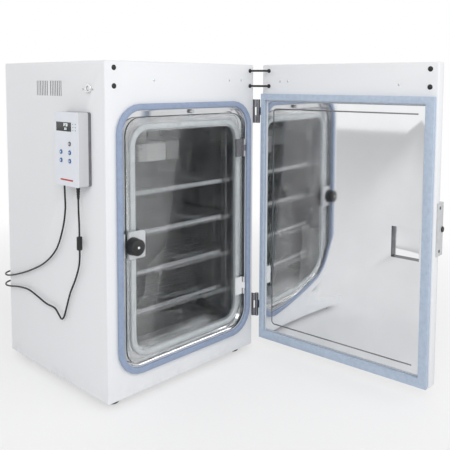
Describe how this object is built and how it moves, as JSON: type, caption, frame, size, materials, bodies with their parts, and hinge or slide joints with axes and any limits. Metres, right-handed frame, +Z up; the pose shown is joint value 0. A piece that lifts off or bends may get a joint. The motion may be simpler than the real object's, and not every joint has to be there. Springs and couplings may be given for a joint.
{
  "type": "tri-gas incubator",
  "caption": "Free-standing insulated incubator cabinet with a hinged outer door, glass inner door, slotted steel shelves, circulation fan and side-mounted controller.",
  "frame": {"origin": "centre of the underside of the cabinet's base pan; the rubber feet reach 22 mm below it", "axes": "+Z up, -Y out of the cabinet's front towards the user, +X to the side that carries the door hinges"},
  "size_m": [0.7193, 1.1524, 0.922],
  "materials": {
    "painted_steel": "satin",
    "stainless": "satin",
    "polished_steel": "polished",
    "insulation_foam": "matte",
    "blue_grey_silicone": "satin",
    "pale_silicone": "satin",
    "black_rubber": "matte",
    "black_plastic": "matte",
    "white_plastic": "satin",
    "grey_plastic": "matte",
    "aluminium_box": "satin",
    "green_board": "matte",
    "brass": "satin",
    "chrome": "polished",
    "dark_chrome": "polished",
    "dark_grey_plastic": "matte",
    "pale_plastic": "matte",
    "display_window": "gloss",
    "blue_key": "matte",
    "clear_glass": "gloss"
  },
  "bodies": {
    "cabinet": {"outer_case": "painted_steel", "insulation_core": "insulation_foam", "mouth_flange": "stainless", "chamber_liner": "stainless", "back_panel": "painted_steel", "base_pan": "painted_steel", "foot_front_left": "black_rubber", "foot_front_right": "black_rubber", "foot_rear_left": "black_rubber", "foot_rear_right": "black_rubber", "front_gasket": "blue_grey_silicone", "shelf_rack_left": "stainless", "shelf_rack_right": "stainless", "shelf_1": "stainless", "shelf_2": "stainless", "shelf_3": "stainless", "shelf_4": "stainless", "humidity_tray": "stainless", "fan_housing": "white_plastic", "fan_motor": "aluminium_box", "chamber_sensor": "stainless", "power_supply": "aluminium_box", "control_board": "green_board", "gas_valve_block": "brass", "mains_inlet": "black_plastic", "gas_inlets": "stainless", "cable_gland": "black_plastic", "port_ring": "chrome", "controller_back": "dark_grey_plastic", "controller_cover": "pale_plastic", "controller_display": "display_window", "controller_cable": "black_rubber", "sensor_cable": "black_rubber", "cable_relief": "black_rubber", "ferrite_bead": "black_plastic", "cabinet_hinge_lower": "dark_chrome", "cabinet_hinge_upper": "dark_chrome", "door_cable_lower": "black_rubber", "door_cable_upper": "black_rubber", "latch_keeper": "stainless"},
    "outer_door": {"door_shell": "painted_steel", "door_foam": "insulation_foam", "door_inner_panel": "polished_steel", "door_gasket": "blue_grey_silicone", "door_handle": "grey_plastic", "door_hinge_lower": "dark_chrome", "door_hinge_upper": "dark_chrome"},
    "door_lock": {"door_lock": "black_plastic"},
    "inner_door": {"inner_glass_door": "clear_glass", "inner_ring_gasket": "pale_silicone", "glass_hinge_lower": "dark_chrome", "glass_hinge_upper": "dark_chrome", "latch_block": "pale_plastic"},
    "latch_knob": {"latch_knob": "black_plastic"},
    "fan_impeller": {"fan_impeller": "black_plastic"},
    "button_mute": {"button_mute": "blue_key"},
    "button_up": {"button_up": "blue_key"},
    "button_set": {"button_set": "blue_key"},
    "button_down": {"button_down": "blue_key"},
    "button_enter": {"button_enter": "blue_key"}
  },
  "joints": [
    {"name": "outer_door_hinge", "type": "hinge", "parent": "cabinet", "child": "outer_door", "pos_m": [0.2945, -0.2675, 0.45], "axis": [0, 0, 1], "range_deg": [-94, 26], "deforming": ["door_cable_lower", "door_cable_upper"]},
    {"name": "door_lock_turn", "type": "hinge", "parent": "outer_door", "child": "door_lock", "pos_m": [0.38565, -0.83984, 0.455], "axis": [0.0698, -0.9976, 0], "range_deg": [0, 90]},
    {"name": "inner_door_hinge", "type": "hinge", "parent": "cabinet", "child": "inner_door", "pos_m": [0.2365, -0.262, 0.424], "axis": [0, 0, 1], "range_deg": [0, 95]},
    {"name": "latch_knob_turn", "type": "hinge", "parent": "inner_door", "child": "latch_knob", "pos_m": [-0.2045, -0.2638, 0.412], "axis": [0, 1, 0], "range_deg": [0, 90]},
    {"name": "fan_spin", "type": "hinge", "parent": "cabinet", "child": "fan_impeller", "pos_m": [0.0165, -0.0275, 0.646], "axis": [0, 0, 1], "continuous": true},
    {"name": "button_mute_press", "type": "slide", "parent": "cabinet", "child": "button_mute", "axis": [1, 0, 0], "range_m": [0, 0.0012], "stiffness_N_per_m": 400},
    {"name": "button_up_press", "type": "slide", "parent": "cabinet", "child": "button_up", "axis": [1, 0, 0], "range_m": [0, 0.0012], "stiffness_N_per_m": 400},
    {"name": "button_set_press", "type": "slide", "parent": "cabinet", "child": "button_set", "axis": [1, 0, 0], "range_m": [0, 0.0012], "stiffness_N_per_m": 400},
    {"name": "button_down_press", "type": "slide", "parent": "cabinet", "child": "button_down", "axis": [1, 0, 0], "range_m": [0, 0.0012], "stiffness_N_per_m": 400},
    {"name": "button_enter_press", "type": "slide", "parent": "cabinet", "child": "button_enter", "axis": [1, 0, 0], "range_m": [0, 0.0012], "stiffness_N_per_m": 400}
  ]
}
